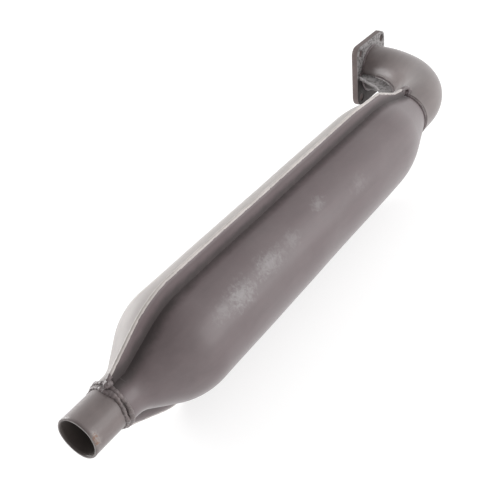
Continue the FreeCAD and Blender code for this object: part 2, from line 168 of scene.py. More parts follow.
def open_group(name, inputs, outputs):
    """A node group with named sockets; inputs are (name, kind, value)."""
    group = bpy.data.node_groups.new(name, "ShaderNodeTree")
    for socket_name, kind, value in inputs:
        socket = group.interface.new_socket(socket_name, in_out="INPUT", socket_type=kind)
        socket.default_value = value
    for socket_name, kind in outputs:
        group.interface.new_socket(socket_name, in_out="OUTPUT", socket_type=kind)
    return group, group.nodes.new("NodeGroupInput").outputs, group.nodes.new("NodeGroupOutput").inputs


def use_group(tree, group, inputs):
    """A group placed in a tree, with its inputs filled; returns its outputs."""
    return place(tree, "ShaderNodeGroup", inputs, node_tree=group).outputs


FLOAT, COLOUR, VECTOR = "NodeSocketFloat", "NodeSocketColor", "NodeSocketVector"

# %% [markdown]
# ## Mottled paint
# Thin heat-resistant paint on steel is never one colour.  It is a little lighter and
# darker in clouds a few centimetres wide, finer mottling sits inside them, and faint
# streaks follow the way it was wiped.  Three noises at three scales make that.

# %% Mottled paint group
def mottled_paint():
    """Clouds, mottling and wiped streaks in a colour; also a roughness and a fine height."""
    group, given, put = open_group(
        "mottled_paint",
        [("Vector", VECTOR, (0, 0, 0)), ("Colour", COLOUR, (0.2, 0.2, 0.2, 1)),
         ("Tint", COLOUR, (0.2, 0.2, 0.2, 1)), ("Contrast", FLOAT, 0.2), ("Roughness", FLOAT, 0.5)],
        [("Colour", COLOUR), ("Roughness", FLOAT), ("Height", FLOAT)])
    where = given["Vector"]
    clouds = cloudy(group, where, 16.0, 3.0, 0.55)
    mottle = cloudy(group, where, 120.0, 4.0, 0.6)
    wiped = place(group, "ShaderNodeMapping", {"Vector": where, "Scale": (25.0, 160.0, 160.0),
                                               "Rotation": (0.0, 0.25, 0.1)}).outputs[0]
    streaks = cloudy(group, wiped, 1.0, 2.0, 0.5)
    grain = cloudy(group, where, 1400.0, 2.0, 0.6)
    tinted = blend_colours(group, ramp(group, clouds, 0.35, 0.65), given["Colour"], given["Tint"])
    tone = sums(group, "ADD", sums(group, "MULTIPLY", mottle, 0.5),
                sums(group, "MULTIPLY", streaks, 0.5))
    depth = place(group, "ShaderNodeMapRange", {"Value": tone, "From Min": 0.3, "From Max": 0.7,
                                                "To Min": -1.0, "To Max": 1.0}).outputs["Result"]
    swing = scaled(group, depth, given["Contrast"], 1.0)
    shade = place(group, "ShaderNodeHueSaturation", {"Color": tinted, "Value": swing})
    group.links.new(shade.outputs[0], put["Colour"])
    gloss = scaled(group, mottle, 0.16, -0.08)
    group.links.new(sums(group, "ADD", given["Roughness"], gloss), put["Roughness"])
    group.links.new(scaled(group, mottle, 0.5, grain), put["Height"])
    return group


MOTTLED_PAINT = mottled_paint()
print("group:", MOTTLED_PAINT.name, len(MOTTLED_PAINT.nodes), "nodes")

# %% [markdown]
# ## Scuffs
# Where the exhaust rubbed on something, the paint is burnished pale in soft patches.
# A patch is a stretched sphere with a broken edge: the distance from its middle is mixed
# with noise before it is cut off, so no two patches look alike.

# %% Scuff patch group
def scuff_patch():
    """A mask that is 1 in a patch about Centre, Reach wide each way, with a broken edge."""
    group, given, put = open_group(
        "scuff_patch",
        [("Vector", VECTOR, (0, 0, 0)), ("Centre", VECTOR, (0, 0, 0)),
         ("Reach", VECTOR, (0.02, 0.02, 0.02)), ("Strength", FLOAT, 1.0), ("Raggedness", FLOAT, 0.8)],
        [("Mask", FLOAT)])
    offset = vector_step(group, "SUBTRACT", given["Vector"], given["Centre"])[0]
    shrunk = vector_step(group, "DIVIDE", offset, given["Reach"])[0]
    distance = vector_step(group, "LENGTH", shrunk)["Value"]
    broken = cloudy(group, given["Vector"], 260.0, 6.0, 0.68, 0.4)
    ragged = scaled(group, scaled(group, broken, 1.0, -0.5), given["Raggedness"], 0.0)
    edge = scaled(group, ragged, 4.0, distance)
    mask = place(group, "ShaderNodeMapRange", {"Value": edge, "From Min": 1.25, "From Max": -0.2},
                 interpolation_type="SMOOTHSTEP").outputs["Result"]
    group.links.new(sums(group, "MULTIPLY", mask, given["Strength"]), put["Mask"])
    return group


SCUFF_PATCH = scuff_patch()
print("group:", SCUFF_PATCH.name, len(SCUFF_PATCH.nodes), "nodes")

# %% [markdown]
# ## Rust and bare spots
# Rust starts in pits, so it comes as small separate spots.  They could be scattered one by
# one, but a noise that is cut off high up gives spots of every size at once, thickest in
# the middle.  The same group makes the slag on the welds and the specks on the flange.

# %% Spots group
def broken_spots():
    """A mask of ragged spots: Scale per metre, and Amount from 0, none, to 1, everywhere."""
    group, given, put = open_group(
        "broken_spots",
        [("Vector", VECTOR, (0, 0, 0)), ("Scale", FLOAT, 300.0), ("Amount", FLOAT, 0.4),
         ("Where", FLOAT, 1.0)],
        [("Mask", FLOAT)])
    cells = cloudy(group, given["Vector"], given["Scale"], 5.0, 0.65)
    no_spots_above = 0.78
    over = scaled(group, given["Amount"], given["Where"], scaled(group, cells, 1.0, -no_spots_above))
    group.links.new(ramp(group, over, 0.0, 0.09), put["Mask"])
    return group


BROKEN_SPOTS = broken_spots()
print("group:", BROKEN_SPOTS.name, len(BROKEN_SPOTS.nodes), "nodes")

# %% [markdown]
# ## Finishes
# Each finish is a Principled surface.  The groups above give it colour, roughness and a
# bump; the numbers that are the same all over are set on the surface's own sockets.

# %% Start of a finish
PAINT = (0.120, 0.088, 0.092, 1)
PAINT_TINT = (0.134, 0.103, 0.106, 1)
HEADER_TONE = (0.140, 0.113, 0.110, 1)
HEADER_TINT = (0.158, 0.128, 0.124, 1)
# A dark for real slag and specks, also used as painted shade in folds and low on the flange's back.
GRIME_AND_SHADE = (0.036, 0.030, 0.029, 1)
SCUFFED = (0.30, 0.285, 0.285, 1)
RUST = (0.205, 0.118, 0.082, 1)
BARE_STEEL = (0.52, 0.49, 0.46, 1)
PAINT_ROUGHNESS = 0.55
COAT = 0.35
GRAIN_DEPTH = 0.00003


def give_sheen(surface):
    """A thin clear film over the paint, seen mostly at grazing angles."""
    surface.inputs["Coat Weight"].default_value = COAT
    surface.inputs["Coat Roughness"].default_value = 0.25
    surface.inputs["Sheen Weight"].default_value = 0.30
    surface.inputs["Sheen Roughness"].default_value = 0.35


def start_finish(name):
    """A material, its node tree, its surface shader and the place on the chamber's axes."""
    material = bpy.data.materials.new(name)
    material.use_nodes = True
    tree = material.node_tree
    surface = tree.nodes["Principled BSDF"]
    here = place(tree, "ShaderNodeTexCoord").outputs["Object"]
    moved = place(tree, "ShaderNodeMapping", {"Vector": here, "Location": tuple(-CHAMBER)})
    return material, tree, surface, moved.outputs[0]


def bump_surface(tree, surface, height, depth):
    """A height in metres felt as a bump on the surface."""
    bump = place(tree, "ShaderNodeBump", {"Height": height, "Distance": depth, "Strength": 1.0})
    tree.links.new(bump.outputs[0], surface.inputs["Normal"])


def axis_parts(tree, where):
    """The place along the chamber, and the two across it."""
    return place(tree, "ShaderNodeSeparateXYZ", {0: where}).outputs


def join_paint(tree, surface, colour, roughness, height, depth=GRAIN_DEPTH):
    """Join a colour, a roughness and a grain to the surface."""
    tree.links.new(colour, surface.inputs["Base Color"])
    tree.links.new(roughness, surface.inputs["Roughness"])
    bump_surface(tree, surface, height, depth)


def mottled(tree, where, colour, tint, contrast, roughness=PAINT_ROUGHNESS):
    """The mottled paint group, placed in a finish; returns its outputs."""
    return use_group(tree, MOTTLED_PAINT, {"Vector": where, "Colour": colour, "Tint": tint,
                                           "Contrast": contrast, "Roughness": roughness})


print("paint:", PAINT[:3], "header:", HEADER_TONE[:3])

# %% [markdown]
# ### Shell paint
# The shells have the widest surfaces, so they show the most: clouds in the paint, a line
# of pale scuffs along the outer side, and painted shade along the foot of the fins.  The
# shade could follow the hollows of the mesh, but a value stored in each vertex when the shell is
# pressed says just how deep in the fold it is.  The far shell's paint is made lighter, as
# painted light on the side that the main panel lights.

# %% Shell paint
SCUFFS = [
    # middle on the chamber's axes, reach along and across, strength
    ((0.122, -0.033, 0.027), (0.012, 0.012, 0.006), 0.35),
    ((0.142, -0.034, 0.026), (0.019, 0.012, 0.009), 0.60),
    ((0.182, -0.033, 0.028), (0.020, 0.012, 0.007), 0.55),
    ((0.215, -0.033, 0.028), (0.012, 0.012, 0.006), 0.30),
    ((0.263, -0.029, 0.032), (0.010, 0.012, 0.005), 0.45),
    ((0.320, -0.036, 0.022), (0.014, 0.012, 0.007), 0.20),
]


SHADE_SHARE = 0.80
# The far shell's lighter tone is painted light: it stands for the main panel on that side.
LIT_SHELL_TONE = (0.310, 0.282, 0.270, 1)
LIT_SHELL_TINT = (0.335, 0.306, 0.294, 1)


def shade_in_folds(tree, surface, where, colour, coat=COAT):
    """Painted shade in the folds, from the piece's own fold attribute; it dulls the clear film too."""
    fold = place(tree, "ShaderNodeAttribute", attribute_name="fold").outputs["Fac"]
    level = scaled(tree, cloudy(tree, where, 140.0, 4.0, 0.6), 0.5, fold)
    # painted shade: the fold value, broken by noise, darkens the paint here
    mask = sums(tree, "MULTIPLY", ramp(tree, level, 0.30, 1.05), SHADE_SHARE)
    clean = ramp(tree, fold, 0.30, 0.0)
    tree.links.new(sums(tree, "MULTIPLY", clean, coat), surface.inputs["Coat Weight"])
    return blend_colours(tree, mask, colour, GRIME_AND_SHADE)


def shell_paint(name, colour, tint, coat):
    """Mottled paint with scuffs, and painted shade in the folds."""
    material, tree, surface, where = start_finish(name)
    paint = mottled(tree, where, colour, tint, 0.10)
    worn = 0.0
    for centre, reach, strength in SCUFFS:
        patch = use_group(tree, SCUFF_PATCH, {"Vector": where, "Centre": centre, "Reach": reach,
                                              "Strength": strength})["Mask"]
        worn = patch if worn == 0.0 else sums(tree, "MAXIMUM", worn, patch)
    colour = blend_colours(tree, worn, paint["Colour"], SCUFFED)
    colour = shade_in_folds(tree, surface, where, colour, coat)
    join_paint(tree, surface, colour, paint["Roughness"], paint["Height"])
    give_sheen(surface)
    return material


SHELL_PAINT = shell_paint("shell_paint", PAINT, PAINT_TINT, COAT)
LIT_SHELL_PAINT = shell_paint("lit_shell_paint", LIT_SHELL_TONE, LIT_SHELL_TINT, 0.0)
print("finishes:", SHELL_PAINT.name, LIT_SHELL_PAINT.name)

# %% [markdown]
# ### Header paint
# The same paint, a little paler and with fewer marks.  The shells' recipe would do, but a
# separate tone keeps the header apart, and its own fold values lay painted shade on its edge and
# underside.

# %% Header paint
def header_paint():
    """Mottled paint, a little lighter, with few marks."""
    material, tree, surface, where = start_finish("header_paint")
    paint = mottled(tree, where, HEADER_TONE, HEADER_TINT, 0.10)
    colour = shade_in_folds(tree, surface, where, paint["Colour"])
    join_paint(tree, surface, colour, paint["Roughness"], paint["Height"])
    give_sheen(surface)
    return material


HEADER_PAINT = header_paint()
print("finish:", HEADER_PAINT.name)

# %% [markdown]
# ### Flange paint
# Thicker paint on plate, without the clear film.  Only the flange's back is pale and
# specked, and below the brace it is darkened as painted shade, so each of these is kept to its place by
# a ramp along an axis, which follows a flat face better than a painted mask would.

# %% Flange paint
FLANGE_TONE = (0.185, 0.156, 0.150, 1)


def flange_paint():
    """Thicker paint on plate, pale and specked on the flange's back, with painted shade low down."""
    material, tree, surface, where = start_finish("flange_paint")
    paint = mottled(tree, where, FLANGE_TONE, HEADER_TINT, 0.16)
    part = axis_parts(tree, where)
    on_back = ramp(tree, part["Y"], FLANGE_BACK_Y + 0.002, FLANGE_BACK_Y + 0.0005)
    specks = use_group(tree, BROKEN_SPOTS, {"Vector": where, "Scale": 330.0, "Amount": 0.30,
                                            "Where": on_back})["Mask"]
    colour = blend_colours(tree, on_back, paint["Colour"], SCUFFED)
    colour = blend_colours(tree, sums(tree, "MULTIPLY", specks, 0.6), colour, GRIME_AND_SHADE)
    # painted shade on the flange's back, below the brace
    below = sums(tree, "MULTIPLY", on_back, ramp(tree, part["Z"], 0.003, -0.004))
    colour = blend_colours(tree, sums(tree, "MULTIPLY", below, 0.95), colour, GRIME_AND_SHADE)
    join_paint(tree, surface, colour, paint["Roughness"], paint["Height"], 2 * GRAIN_DEPTH)
    surface.inputs["Specular IOR Level"].default_value = 0.12
    return material


FLANGE_PAINT = flange_paint()
print("finish:", FLANGE_PAINT.name)

# %% [markdown]
# ### Weld paint
# On the welds the paint is thin, so dark slag and rust show through.  The beads round the
# outlet have the most, the ones on the header and the brace are darker, and the beads on
# the fins' edges are painted pale, as a painted highlight along their lit edge.  One recipe with other
# colours and less dirt makes all three.

# %% Weld paint
# A painted highlight: the pale tone of the beads along the fins' lit edges.
LIT_EDGE_TONE = (0.44, 0.40, 0.38, 1)
LIT_EDGE_TINT = (0.50, 0.46, 0.44, 1)
# The darker tone of the beads in the inside corners at the header, the flange and the brace.
DARK_BEAD_TONE = (0.085, 0.072, 0.070, 1)


def weld_paint(name, colour, tint, dirt):
    """Thin paint on rough beads, with slag and rust in the pits."""
    material, tree, surface, where = start_finish(name)
    paint = mottled(tree, where, colour, tint, 0.3)
    along = axis_parts(tree, where)["X"]
    near_outlet = place(tree, "ShaderNodeMapRange", {"Value": along, "From Min": 0.05, "From Max": 0.03,
                                                     "To Min": 0.3}).outputs["Result"]
    rust = use_group(tree, BROKEN_SPOTS, {"Vector": where, "Scale": 260.0, "Amount": 0.16,
                                          "Where": near_outlet})["Mask"]
    slag = use_group(tree, BROKEN_SPOTS, {"Vector": where, "Scale": 700.0, "Amount": 0.26})["Mask"]
    colour = blend_colours(tree, sums(tree, "MULTIPLY", slag, dirt), paint["Colour"], GRIME_AND_SHADE)
    colour = blend_colours(tree, sums(tree, "MULTIPLY", rust, dirt), colour, RUST)
    join_paint(tree, surface, colour, paint["Roughness"], paint["Height"], 4 * GRAIN_DEPTH)
    give_sheen(surface)
    return material


WELD_PAINT = weld_paint("weld_paint", PAINT_TINT, HEADER_TINT, 0.6)
SEAM_WELD_PAINT = weld_paint("seam_weld_paint", LIT_EDGE_TONE, LIT_EDGE_TINT, 0.0)
DARK_WELD_PAINT = weld_paint("dark_weld_paint", DARK_BEAD_TONE, PAINT, 0.5)
print("finishes:", WELD_PAINT.name, SEAM_WELD_PAINT.name, DARK_WELD_PAINT.name)

# %% [markdown]
# ### Outlet stub
# Paint outside, soot inside, and rust and bare metal at the rim where the tail silencer
# was pushed on and pulled off.  The soot follows the distance from the axis: everything
# nearer to it than the wall's middle is inside.

# %% Stub paint
STUB_R = 0.016
STUB_WALL = 0.0015
RUSTY_SIDE = (0.0022, -0.0152, 0.0045)
SOOT = (0.078, 0.062, 0.056, 1)
SOOT_ROUGHNESS = 0.8


def stub_paint():
    """Paint, rust on one side of the rim, and a sooty inside."""
    material, tree, surface, where = start_finish("stub_paint")
    paint = mottled(tree, where, HEADER_TONE, HEADER_TINT, 0.14)
    part = axis_parts(tree, where)
    across = place(tree, "ShaderNodeCombineXYZ", {"Y": part["Y"], "Z": part["Z"]}).outputs[0]
    radius = vector_step(tree, "LENGTH", across)["Value"]
    sooty = place(tree, "ShaderNodeMapRange",
                  {"Value": radius, "From Min": STUB_R - 0.6 * STUB_WALL,
                   "From Max": STUB_R - 0.9 * STUB_WALL}).outputs["Result"]
    patch = use_group(tree, SCUFF_PATCH, {"Vector": where, "Centre": RUSTY_SIDE,
                                          "Reach": (0.0045, 0.006, 0.0075), "Strength": 1.0})["Mask"]
    rust = use_group(tree, BROKEN_SPOTS, {"Vector": where, "Scale": 420.0, "Amount": 0.50,
                                          "Where": patch})["Mask"]
    colour = blend_colours(tree, sums(tree, "MULTIPLY", patch, 0.35), paint["Colour"], BARE_STEEL)
    colour = blend_colours(tree, rust, colour, RUST)
    colour = blend_colours(tree, sooty, colour, SOOT)
    roughness = sums(tree, "MAXIMUM", paint["Roughness"], sums(tree, "MULTIPLY", sooty, SOOT_ROUGHNESS))
    join_paint(tree, surface, colour, roughness, paint["Height"])
    give_sheen(surface)
    return material


STUB_PAINT = stub_paint()
print("finish:", STUB_PAINT.name)

# %% [markdown]
# ## Drawing an outline
# A sheet-metal profile is straight runs joined by tangent arcs.  Spinning one vertex
# about the arc's centre draws the arc, and the straight runs are edges between arcs, so
# an outline needs only its corners and one radius for each.

# %% Outline helpers
def draw_outline(bm, corners, radii, pitch):
    """Edges through the corners, an arc at each inner one; returns the vertices in order."""
    chain = [bm.verts.new(corners[0])]
    for before, corner, after, radius in zip(corners, corners[1:], corners[2:], radii):
        into = (corner - before).normalized()
        out = (after - corner).normalized()
        turn = into.angle(out)
        axis = into.cross(out).normalized()
        first = corner - into * radius * math.tan(turn / 2)
        chain.append(bm.verts.new(first))
        bm.edges.new(chain[-2:])
        known = set(bm.verts)
        bmesh.ops.spin(bm, geom=[chain[-1]], cent=first + axis.cross(into) * radius, axis=axis,
                       angle=turn, steps=max(3, round(radius * turn / pitch)))
        chain += [vert for vert in bm.verts if vert not in known]
    chain.append(bm.verts.new(corners[-1]))
    bm.edges.new(chain[-2:])
    return chain


def edges_of(verts):
    """The edges of some vertices, each once and in a fixed order."""
    return list(dict.fromkeys(edge for vert in verts for edge in vert.link_edges))


def divide_runs(bm, pitch):
    """Cut long edges so that none is much longer than the pitch."""
    for edge in bm.edges[:]:
        cuts = round(edge.calc_length() / pitch) - 1
        if cuts > 0:
            bmesh.ops.subdivide_edges(bm, edges=[edge], cuts=cuts)


def above_axis(x, height):
    """A point in the seam plane."""
    return Vector((x, 0, height))


def outline_points(corners, radii, pitch):
    """The outline's points, in order along x."""
    bm = bmesh.new()
    draw_outline(bm, corners, radii, pitch)
    divide_runs(bm, pitch)
    points = sorted((vert.co.copy() for vert in bm.verts), key=lambda point: point.x)
    bm.free()
    return points


def height_at(points, x):
    """The outline's height at x, between its two nearest points."""
    for left, right in zip(points, points[1:]):
        if left.x <= x <= right.x:
            share = (x - left.x) / max(right.x - left.x, TINY)
            return left.z + (right.z - left.z) * share
    return points[0].z if x < points[0].x else points[-1].z


# %% [markdown]
# ## Hand-made unevenness
# Pressed sheet is never quite true.  One slow noise moves every point of the chamber by
# a fraction of a millimetre.  It depends only on the place, so the shells, the fin and
# the beads on them move together and still fit.  Blender shifts this noise by a random
# start that changes with the clock, so a seed is set to get the same shapes every time.

# %% Unevenness and the last steps of a piece
WARP = 0.00035
WARP_SIZE = 0.055
SEED = 7
noise.seed_set(SEED)


def extrude_row(bm, row):
    """Extrude a row of edges; returns the new vertices and the new row."""
    made = bmesh.ops.extrude_edge_only(bm, edges=row)["geom"]
    verts = [part for part in made if isinstance(part, bmesh.types.BMVert)]
    edges = [part for part in made if isinstance(part, bmesh.types.BMEdge)]
    return verts, [edge for edge in edges if all(vert in verts for vert in edge.verts)]


def uneven(bm, amount=WARP, size=WARP_SIZE):
    """Move every vertex by slow noise that depends only on its place."""
    for vert in bm.verts:
        vert.co += noise.noise_vector(vert.co / size) * amount


def make_object(name, bm, material):
    """The work as an object in the scene, with one finish."""
    mesh = bpy.data.meshes.new(name)
    bm.to_mesh(mesh)
    bm.free()
    mesh.materials.append(material)
    made = bpy.data.objects.new(name, mesh)
    bpy.context.scene.collection.objects.link(made)
    return made


def finish_piece(name, bm, nodes, material, sharp=40):
    """Turn the work into an object on the chamber's place, standing for CAD nodes."""
    bmesh.ops.remove_doubles(bm, verts=bm.verts, dist=TINY)
    bmesh.ops.recalc_face_normals(bm, faces=bm.faces)
    bmesh.ops.translate(bm, verts=bm.verts, vec=CHAMBER)
    piece = make_object(name, bm, material)
    piece.data.shade_smooth()
    piece.data.set_sharp_from_angle(angle=math.radians(sharp))
    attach(piece, "root")
    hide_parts(*nodes)
    print(name, "-", len(piece.data.polygons), "faces")
    return piece


def add_wall(piece, thickness):
    """Give a skin its wall, inwards from the outside that was drawn."""
    wall = piece.modifiers.new("wall", "SOLIDIFY")
    wall.thickness = thickness
    wall.offset = -1
    wall.use_even_offset = True
    wall.use_rim = True


# %% [markdown]
# ## The pressed shells
# Each half is one sheet: a half-round dome whose edges turn out into a flat fin.  A plain
# cylinder would miss the soft root where the sheet bends.  So the outline is spun half
# round, the seam's edges are extruded out to the fin's height, and the corner between
# them is bevelled round.  The first and last rows of the dome are a little wider, to make room.

# %% Sizes of the shells, in metres
SHEET = 0.0012
BODY_R = 0.043
REAR_NECK_R = 0.0172
FRONT_NECK_R = 0.0235
REAR_END_X = 0.032
FRONT_END_X = 0.510
BODY_CORNERS = [above_axis(REAR_END_X, REAR_NECK_R), above_axis(0.0485, REAR_NECK_R),
                above_axis(0.0915, BODY_R), above_axis(0.426, BODY_R),
                above_axis(0.4915, FRONT_NECK_R), above_axis(FRONT_END_X, FRONT_NECK_R)]
BODY_BLENDS = [0.025, 0.065, 0.150, 0.001]

FIN_REAR_X = 0.036
FIN_FRONT_X = 0.4845
FIN_HEIGHT = 0.0605
FIN_FRONT = [above_axis(0.372, FIN_HEIGHT), above_axis(0.421, 0.0563), above_axis(0.4595, 0.0393),
             above_axis(FIN_FRONT_X, 0.0344)]
UPPER_FIN = [above_axis(FIN_REAR_X, 0.0255), above_axis(0.080, FIN_HEIGHT)] + FIN_FRONT
LOWER_FIN = [above_axis(FIN_REAR_X, 0.0264), above_axis(0.096, FIN_HEIGHT)] + FIN_FRONT
FIN_BLENDS = [0.065, 0.200, 0.018, 0.012]
FIN_ROOT = 0.0012
SEAM_LEAN = math.radians(6)
STATION = 0.003
FINE = 0.001
ROOT_ROW = math.radians(4.0)
DOME_ROWS = 60
FIN_POINTS = {1: outline_points(UPPER_FIN, FIN_BLENDS, FINE),
              -1: outline_points(LOWER_FIN, FIN_BLENDS, FINE)}
BODY_POINTS = outline_points(BODY_CORNERS, BODY_BLENDS, FINE)
FOLD_REAR = (0.07, 0.013)  # place along the chamber, and how wide the painted shade is there
FOLD_ALONG = (0.13, 0.0085)
FOLD_RISE = 0.0022  # how far the painted shade's middle is up the fin
print("fin outlines:", [len(points) for points in FIN_POINTS.values()], "points")


# %% Press one half
def lean_seam(bm):
    """Turn the work about the axis, so that the seam leans as it does on the real chamber."""
    bmesh.ops.rotate(bm, verts=bm.verts, cent=CENTRE, matrix=Matrix.Rotation(SEAM_LEAN, 3, "X"))


def press_dome(bm, side):
    """The outline spun half round the axis: side is -1 away from the engine, +1 toward it."""
    draw_outline(bm, BODY_CORNERS, BODY_BLENDS, STATION / 2)
    divide_runs(bm, STATION)
    for x in (FIN_REAR_X, FIN_FRONT_X):
        bmesh.ops.bisect_plane(bm, geom=bm.verts[:] + bm.edges[:], dist=TINY,
                               plane_co=(x, 0, 0), plane_no=AXIS)
    row = bm.verts[:] + bm.edges[:]
    for angle, steps in ((ROOT_ROW, 1), (math.pi - 2 * ROOT_ROW, DOME_ROWS), (ROOT_ROW, 1)):
        row = bmesh.ops.spin(bm, geom=row, cent=CENTRE, axis=-side * AXIS, angle=angle,
                             steps=steps)["geom_last"]


def turn_out_fin(bm, side, up):
    """Extrude the seam's edge to the fin's height and round the fold at its root."""
    def on_seam(vert):
        along = FIN_REAR_X - TINY < vert.co.x < FIN_FRONT_X + TINY
        return along and abs(vert.co.y) < TINY and vert.co.z * up > 0

    root = [edge for edge in bm.edges if all(on_seam(vert) for vert in edge.verts)]
    for vert in {vert for edge in root for vert in edge.verts}:
        vert.co.y = side * (SHEET + 2 * TINY)
    rim = set(extrude_row(bm, root)[0])
    for vert in rim:
        vert.co.z = up * height_at(FIN_POINTS[up], vert.co.x)
    bmesh.ops.recalc_face_normals(bm, faces=bm.faces)
    bmesh.ops.bevel(bm, geom=root, offset=FIN_ROOT, offset_type="OFFSET", segments=6,
                    profile=0.5, affect="EDGES", material=-1, clamp_overlap=True)
    upright = [edge for edge in bm.edges if len(rim.intersection(edge.verts)) == 1]
    bmesh.ops.subdivide_edges(bm, edges=upright, cuts=4, use_grid_fill=True)


def mark_fold(bm, side):
    """Store how deep in the fin's fold each vertex is, 0 to 1, for the painted shade there; widest at
    the rear cone.
    """
    fold = bm.verts.layers.float.new("fold")
    (rear_x, rear_width), (along_x, along_width) = FOLD_REAR, FOLD_ALONG
    for vert in bm.verts:
        share = min(max((vert.co.x - rear_x) / (along_x - rear_x), 0), 1)
        width = rear_width + (along_width - rear_width) * share
        height = height_at(BODY_POINTS, vert.co.x)
        reach = math.hypot(abs(vert.co.z) - height - FOLD_RISE, vert.co.y - side * SHEET)
        vert[fold] = max(0, 1 - reach / width) * (1 - 0.2 * share)


def press_shell(name, side, material):
    """One half shell with its two fins."""
    bm = bmesh.new()
    press_dome(bm, side)
    for up in (1, -1):
        turn_out_fin(bm, side, up)
    mark_fold(bm, side)
    uneven(bm)
    lean_seam(bm)
    shell = finish_piece(name, bm, [name.removesuffix("_pressed")], material)
    add_wall(shell, SHEET)


press_shell("shell_right_pressed", -1, SHELL_PAINT)
press_shell("shell_left_pressed", 1, LIT_SHELL_PAINT)

# %% [markdown]
# ## Outlet stub
# A piece of tube, sawn square and filed.  A circle is extruded along the axis, its wall is
# grown inwards, and the rim is left a little uneven, as a sawn rim is.

# %% Make the outlet stub
STUB_END_X = 0.058
STUB_STEPS = 24
SAWN_REACH = 0.006
SAWN_WAVE = 0.009
SAWN_DEPTH = 0.0002


def draw_tube(bm, radius, start, end, steps, sides=64):
    """A circle about the axis, extruded from start to end in equal steps."""
    face_x = Matrix.Translation(Vector((start, 0, 0))) @ Matrix.Rotation(math.pi / 2, 4, "Y")
    made = bmesh.ops.create_circle(bm, cap_ends=False, radius=radius, segments=sides, matrix=face_x)
    row = edges_of(made["verts"])
    step = AXIS * (end - start) / steps
    for _ in range(steps):
        verts, row = extrude_row(bm, row)
        bmesh.ops.translate(bm, verts=verts, vec=step)
    return row


def outlet_stub():
    """The straight tube gripped in the shells' rear neck."""
    bm = bmesh.new()
    draw_tube(bm, STUB_R, 0, STUB_END_X, STUB_STEPS)
    for vert in bm.verts:
        near_rim = max(0, 1 - vert.co.x / SAWN_REACH)
        vert.co += noise.noise_vector(vert.co / SAWN_WAVE) * SAWN_DEPTH * near_rim
    stub = finish_piece("outlet_stub_tube", bm, ["outlet_stub"], STUB_PAINT)
    add_wall(stub, STUB_WALL)


outlet_stub()

# %% [markdown]
# ## Header
# A mandrel-bent tube keeps its round section through the bend.  A circle is extruded for
# the straight run, spun a quarter turn about the bend's centre, and extruded again.

# %% Make the header
HEADER_R = 0.025
HEADER_WALL = 0.0015
HEADER_X = 0.4922
HEADER_STRAIGHT = 0.0199
BEND_R = 0.0825
HEADER_TAIL = 0.009
BEND_STEPS = 56
RIM_FLARE = 0.014
FLARE_REACH = 0.006
LAP_SHADE_REACH = 0.0018
LAP_SHADE = 0.4
SHADE_FROM_Y = 0.03
HEADER_WARP = 0.0003
HEADER_WARP_SIZE = 0.03
BEND_X = HEADER_X + HEADER_STRAIGHT
BEND_CENTRE = Vector((BEND_X, BEND_R, 0))
FLANGE_X = BEND_X + BEND_R


def flare_rim(bm):
    """Open the lapped edge a little, and store painted shade there and under the bend as a fold value.
    """
    fold = bm.verts.layers.float.new("fold")
    for vert in bm.verts:
        past_edge = vert.co.x - HEADER_X
        near_rim = max(0, 1 - past_edge / FLARE_REACH)
        vert.co += Vector((0, vert.co.y, vert.co.z)) * RIM_FLARE * near_rim ** 2
        vert[fold] = LAP_SHADE * max(0, 1 - past_edge / LAP_SHADE_REACH)
        offset = vert.co - BEND_CENTRE
        from_centre = offset.x if offset.y > 0 else math.hypot(offset.x, offset.y)
        # painted shade under the bend, below the brace
        if vert.co.y > SHADE_FROM_Y and from_centre < BEND_R - 0.0005 and vert.co.z < -0.001:
            vert[fold] = min(1, (vert.co.y - SHADE_FROM_Y) / 0.015)


def header_elbow():
    """The bent tube from the chamber's front neck to the flange."""
    bm = bmesh.new()
    row = draw_tube(bm, HEADER_R, HEADER_X, BEND_X, 8, 72)
    ring = row + list(dict.fromkeys(vert for edge in row for vert in edge.verts))
    ring = bmesh.ops.spin(bm, geom=ring, cent=BEND_CENTRE, axis=(0, 0, 1), angle=math.pi / 2,
                          steps=BEND_STEPS)["geom_last"]
    row = [part for part in ring if isinstance(part, bmesh.types.BMEdge)]
    bmesh.ops.translate(bm, verts=extrude_row(bm, row)[0], vec=(0, HEADER_TAIL, 0))
    flare_rim(bm)
    uneven(bm, HEADER_WARP, HEADER_WARP_SIZE)
    elbow = finish_piece("header_elbow_tube", bm, ["header_elbow"], HEADER_PAINT)
    add_wall(elbow, HEADER_WALL)


header_elbow()

# %% [markdown]
# ## Engine flange
# A nearly square plate with round corners, a bore for the header and four bolt holes.  Its face
# is filled between the outlines, extruded to the plate's thickness, and every rim is
# bevelled, because cut and painted plate has no sharp edge.

# %% Make the flange
FLANGE_SIDE = 0.068
FLANGE_TOP = 0.034
FLANGE_BOTTOM = 0.0365
FLANGE_TOP_CORNER_R = 0.009
FLANGE_BOTTOM_CORNER_R = 0.012
BOLT_SPACING = 0.052
BOLT_HOLE_R = 0.00425
RIM_ROUND = 0.0008


def round_rims(bm, radius, segments=3):
    """Bevel every edge where two faces meet at a right angle or nearly so."""
    bmesh.ops.recalc_face_normals(bm, faces=bm.faces)
    rims = [edge for edge in bm.edges
            if len(edge.link_faces) == 2 and edge.calc_face_angle() > math.radians(50)]
    bmesh.ops.bevel(bm, geom=rims, offset=radius, offset_type="OFFSET", segments=segments,
                    profile=0.5, affect="EDGES", material=-1, clamp_overlap=True)


def thicken_face(bm, faces, vector):
    """Extrude filled faces into a plate."""
    made = bmesh.ops.extrude_face_region(bm, geom=faces)["geom"]
    verts = [part for part in made if isinstance(part, bmesh.types.BMVert)]
    bmesh.ops.translate(bm, verts=verts, vec=vector)


